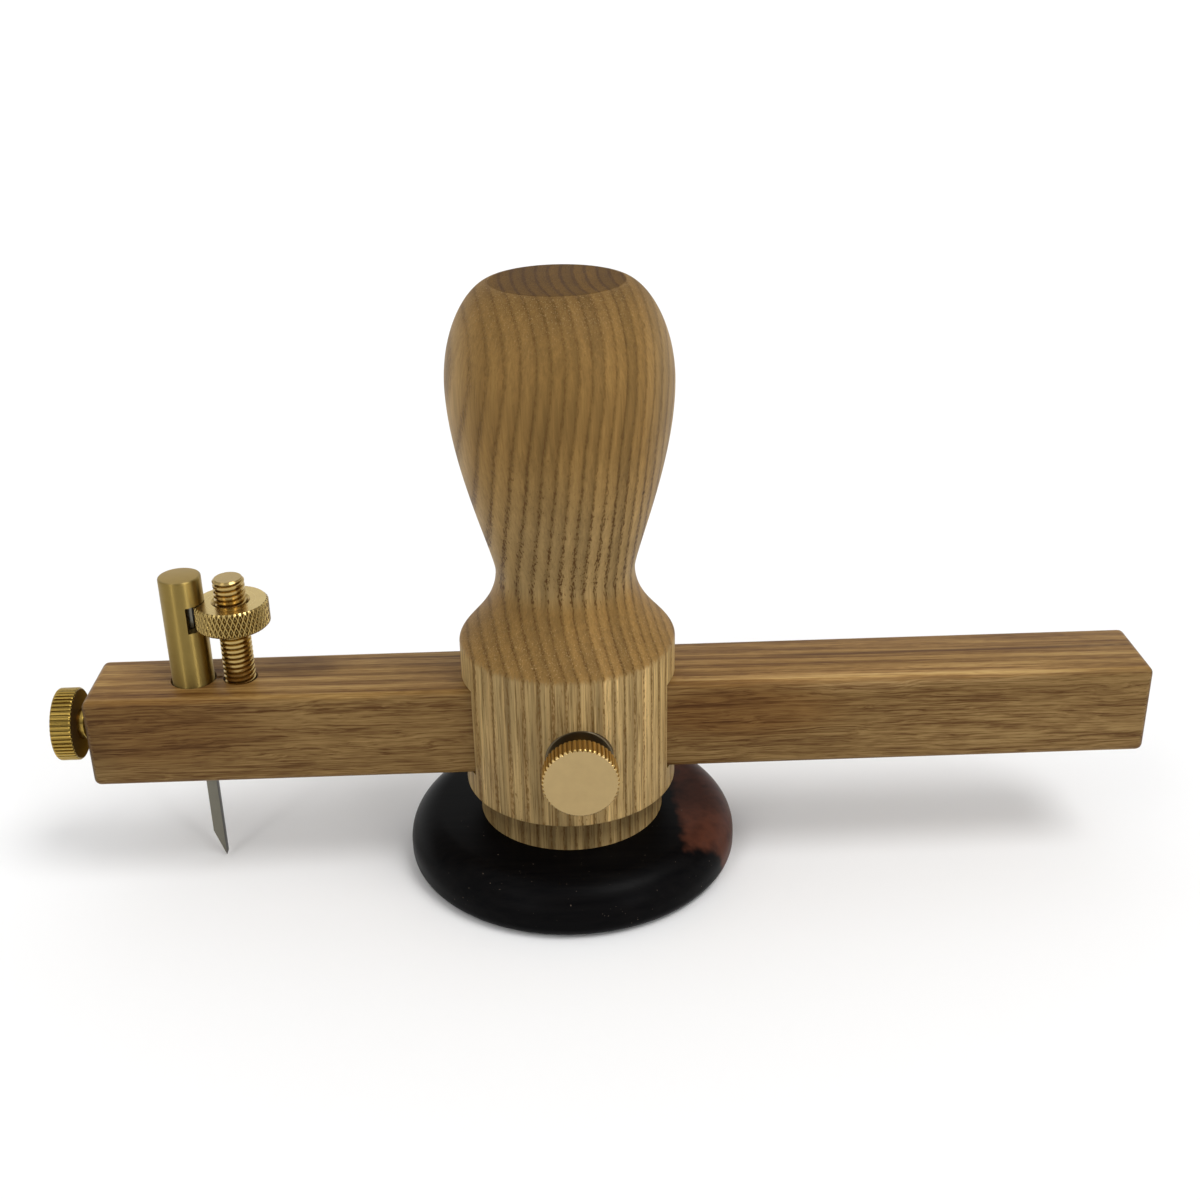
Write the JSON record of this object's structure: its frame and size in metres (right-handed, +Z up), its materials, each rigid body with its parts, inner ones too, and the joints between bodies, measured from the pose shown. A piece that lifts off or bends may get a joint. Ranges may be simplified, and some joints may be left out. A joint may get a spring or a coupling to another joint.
{
  "type": "rosette cutter",
  "caption": "Hand tool with a turned handle on a round sole and a sliding beam whose height-set blade scribes circular channels around a pivot pin.",
  "frame": {"origin": "centre of the sole's underside, at the mouth of the pivot bore", "axes": "+Z up the handle, X along the beam with the cutter at -X, the clamp screw at -Y"},
  "size_m": [0.2093, 0.0646, 0.115],
  "materials": {
    "handle_wood": "oiled ash, open grain",
    "beam_wood": "oiled brown ash, fine grain",
    "sole_wood": "ebony, satin",
    "brass": "brushed",
    "steel": "ground",
    "dark_steel": "blackened"
  },
  "bodies": {
    "handle_unit": {"handle": "handle_wood", "sole": "sole_wood", "pivot_bush": "brass", "sole_screws": "steel", "clamp_insert": "dark_steel"},
    "clamp_pad": {"clamp_pad": "brass"},
    "clamp_screw": {"clamp_screw": "brass"},
    "beam": {"beam": "beam_wood", "depth_screw": "brass", "lock_insert": "dark_steel"},
    "lock_pad": {"lock_pad": "brass"},
    "lock_screw": {"lock_screw": "brass"},
    "cutter": {"cutter_post": "brass", "cutter_blade": "steel", "blade_grub_screw": "dark_steel"},
    "depth_nut": {"depth_nut": "brass"}
  },
  "joints": [
    {"name": "beam_slide", "type": "slide", "parent": "handle_unit", "child": "beam", "axis": [1, 0, 0], "range_m": [-0.09, 0.035]},
    {"name": "clamp_travel", "type": "slide", "parent": "handle_unit", "child": "clamp_pad", "axis": [0, -1, 0], "range_m": [0, 0.002]},
    {"name": "clamp_turn", "type": "hinge", "parent": "clamp_pad", "child": "clamp_screw", "pos_m": [0.0015, -0.0282, 0.0312], "axis": [0, -1, 0], "range_deg": [0, 720]},
    {"name": "lock_travel", "type": "slide", "parent": "beam", "child": "lock_pad", "axis": [-1, 0, 0], "range_m": [0, 0.002]},
    {"name": "lock_turn", "type": "hinge", "parent": "lock_pad", "child": "lock_screw", "pos_m": [-0.0983, 0, 0.0312], "axis": [-1, 0, 0], "range_deg": [0, 720]},
    {"name": "cutter_depth", "type": "slide", "parent": "beam", "child": "cutter", "axis": [0, 0, 1], "range_m": [-0.0105, 0.0045]},
    {"name": "nut_turn", "type": "hinge", "parent": "cutter", "child": "depth_nut", "pos_m": [-0.0627, 0, 0.054], "axis": [0, 0, 1], "range_deg": [-3780, 1620]}
  ],
  "couplings": [
    {"joint": "clamp_travel", "follows": "clamp_turn", "m_per_rad": 0.00015915},
    {"joint": "lock_travel", "follows": "lock_turn", "m_per_rad": 0.00015915},
    {"joint": "cutter_depth", "follows": "nut_turn", "m_per_rad": 0.00015915}
  ]
}
